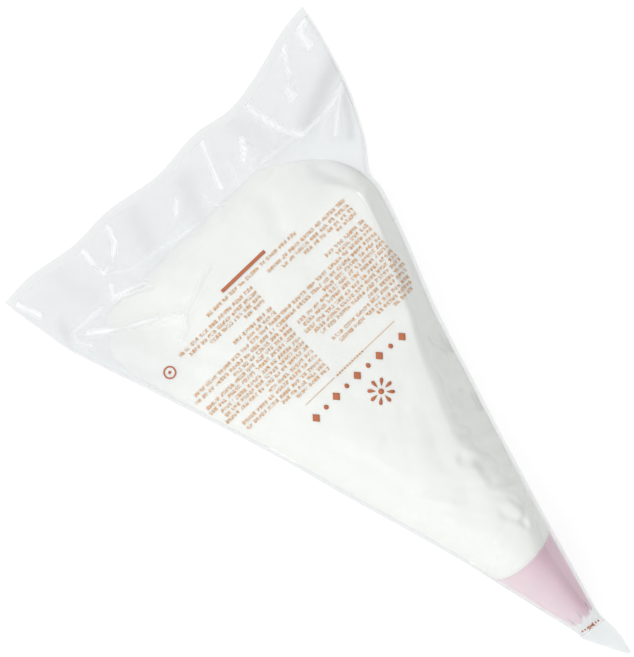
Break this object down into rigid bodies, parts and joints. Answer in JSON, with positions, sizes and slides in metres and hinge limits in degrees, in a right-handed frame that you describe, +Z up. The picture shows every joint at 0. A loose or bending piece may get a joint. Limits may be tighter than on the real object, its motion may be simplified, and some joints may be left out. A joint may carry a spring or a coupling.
{
  "type": "piping bag",
  "caption": "Heat-sealed clear-film piping bag filled with whipped cream, with a star nozzle enclosed in its tip, lying flat.",
  "frame": {"origin": "on the table, under the middle of the bag's box", "axes": "+Y along the bag towards its sealed mouth, -Y towards the cut-off tip, +Z up from the table, +X across the bag"},
  "size_m": [0.2802, 0.4634, 0.0486],
  "materials": {
    "clear_film": "clear glossy film",
    "welded_film": "clear film, fused double",
    "nozzle_plastic": "translucent moulded plastic",
    "whipped_cream": "soft satin cream"
  },
  "bodies": {
    "filled_bag": {"front_film": "clear_film", "back_film": "clear_film", "left_side_weld": "welded_film", "right_side_weld": "welded_film", "cream_fill": "whipped_cream"},
    "mouth_flap": {"mouth_flap_front": "clear_film", "mouth_flap_back": "clear_film", "left_flap_weld": "welded_film", "right_flap_weld": "welded_film", "mouth_heat_seal": "welded_film"},
    "tip_tail": {"tail_front": "clear_film", "tail_back": "clear_film"},
    "nozzle": {"star_nozzle": "nozzle_plastic"}
  },
  "joints": [
    {"name": "mouth_flap_fold", "type": "hinge", "parent": "filled_bag", "child": "mouth_flap", "pos_m": [0, 0.17835, 0.003], "axis": [1, 0, 0], "range_deg": [-90, 120]},
    {"name": "tip_tail_fold", "type": "hinge", "parent": "filled_bag", "child": "tip_tail", "pos_m": [-0.0054, -0.20365, 0.0016], "axis": [0.9863, -0.1647, 0], "range_deg": [-90, 90]},
    {"name": "nozzle_turn", "type": "hinge", "parent": "filled_bag", "child": "nozzle", "pos_m": [-0.0054, -0.22865, 0.001], "axis": [0, 0.9724, 0.2334], "continuous": true}
  ]
}
